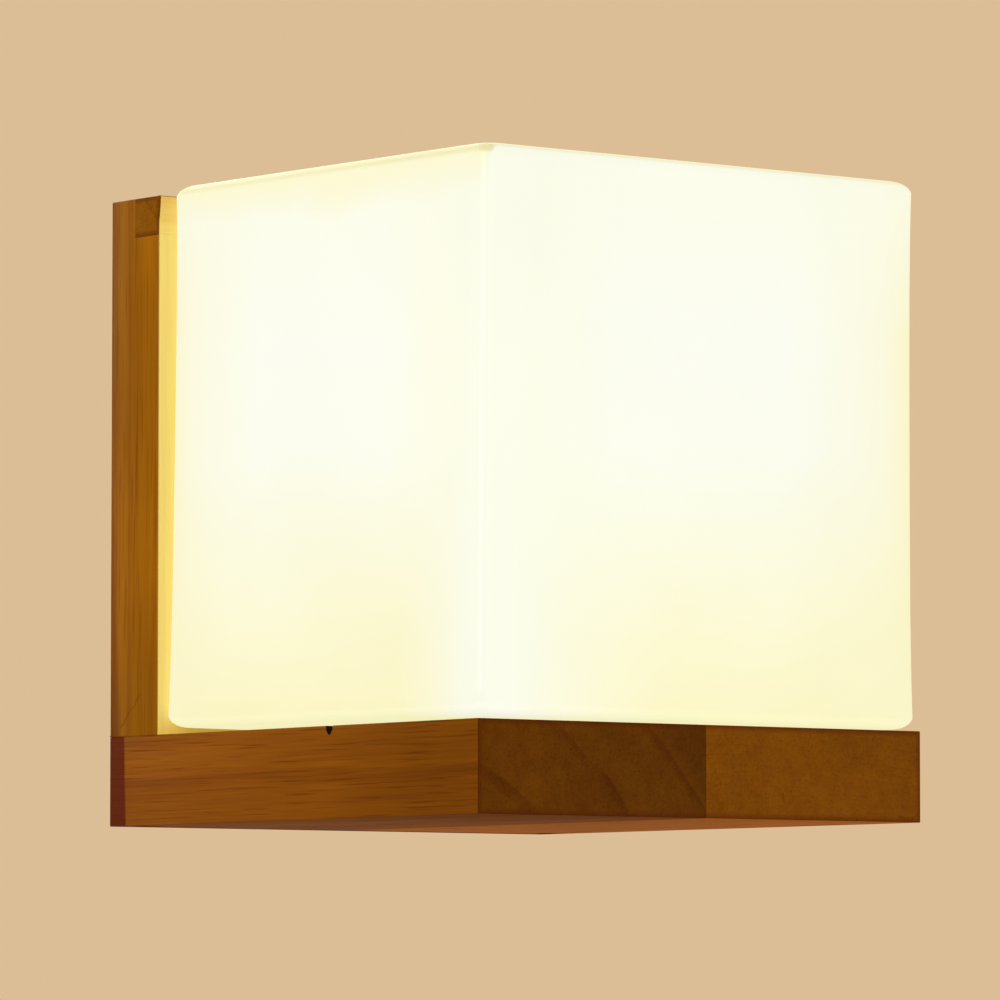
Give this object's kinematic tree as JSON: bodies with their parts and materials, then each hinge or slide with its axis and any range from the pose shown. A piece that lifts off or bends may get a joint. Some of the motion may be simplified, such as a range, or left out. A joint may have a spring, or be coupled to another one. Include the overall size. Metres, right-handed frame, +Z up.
{
  "type": "wall lamp",
  "caption": "Wooden wall lamp: a board shelf and finger-jointed back carry an opal glass block, which lifts off over a screw-in bulb; hangs on wall screws.",
  "frame": {"origin": "in the plane of the wall, at the middle of the back of the hanging plate", "axes": "+Y into the wall, +Z up, +X along the wall to the right as seen from the room"},
  "size_m": [0.15, 0.168, 0.1745],
  "materials": {
    "shelf_wood": "oiled long grain and end grain",
    "side_wood": "oiled long grain",
    "end_grain_wood": "oiled end grain",
    "opal_glass": "blown opal glass, smooth and lit from inside",
    "silicone": "clear silicone",
    "zinc_steel": "zinc plated",
    "nickel": "nickel plated",
    "brass": "plain brass",
    "white_plastic": "white moulding",
    "opal_plastic": "opal diffuser",
    "porcelain": "glazed porcelain",
    "black_glass": "black glass insulator",
    "brown_wire": "brown silicone insulation",
    "blue_wire": "blue silicone insulation"
  },
  "bodies": {
    "lamp": {"shelf_left_stave": "shelf_wood", "shelf_right_stave": "shelf_wood", "back_top_rail": "end_grain_wood", "back_left_side": "side_wood", "back_right_side": "side_wood", "back_panel": "side_wood", "hanging_plate": "zinc_steel", "shade_seat_ring": "silicone", "holder_strap": "zinc_steel", "holder_nipple": "zinc_steel", "holder_nut": "zinc_steel", "holder_cap": "white_plastic", "holder_insert": "porcelain", "holder_screw_shell": "nickel", "holder_contact_spring": "brass", "holder_barrel": "white_plastic", "terminal_block": "white_plastic", "terminal_screw_live_lower": "brass", "terminal_screw_live_upper": "brass", "terminal_screw_neutral_lower": "brass", "terminal_screw_neutral_upper": "brass", "terminal_clamp_live": "brass", "terminal_clamp_neutral": "brass", "live_wire": "brown_wire", "neutral_wire": "blue_wire", "shelf_screw_left": "zinc_steel", "shelf_screw_right": "zinc_steel", "strap_screw_left": "zinc_steel", "strap_screw_right": "zinc_steel", "plate_screw_lower_left": "zinc_steel", "plate_screw_upper_left": "zinc_steel", "plate_screw_lower_right": "zinc_steel", "plate_screw_upper_right": "zinc_steel", "block_screw": "zinc_steel"},
    "shade": {"glass_shade": "opal_glass"},
    "bulb_foot": {"bulb_contact": "brass"},
    "bulb": {"bulb_insulator": "black_glass", "bulb_cap": "nickel", "bulb_housing": "white_plastic", "bulb_led_board": "white_plastic", "bulb_diffuser": "opal_plastic"}
  },
  "joints": [
    {"name": "shade_lift", "type": "slide", "parent": "lamp", "child": "shade", "axis": [0, 0, 1], "range_m": [0, 0.14]},
    {"name": "bulb_rise", "type": "slide", "parent": "lamp", "child": "bulb_foot", "axis": [0, 0, 1], "range_m": [0, 0.01996]},
    {"name": "bulb_turn", "type": "hinge", "parent": "bulb_foot", "child": "bulb", "pos_m": [0, -0.0962, 0], "axis": [0, 0, 1], "range_deg": [0, 1980]}
  ],
  "couplings": [
    {"joint": "bulb_rise", "follows": "bulb_turn", "m_per_rad": 0.0005775}
  ]
}
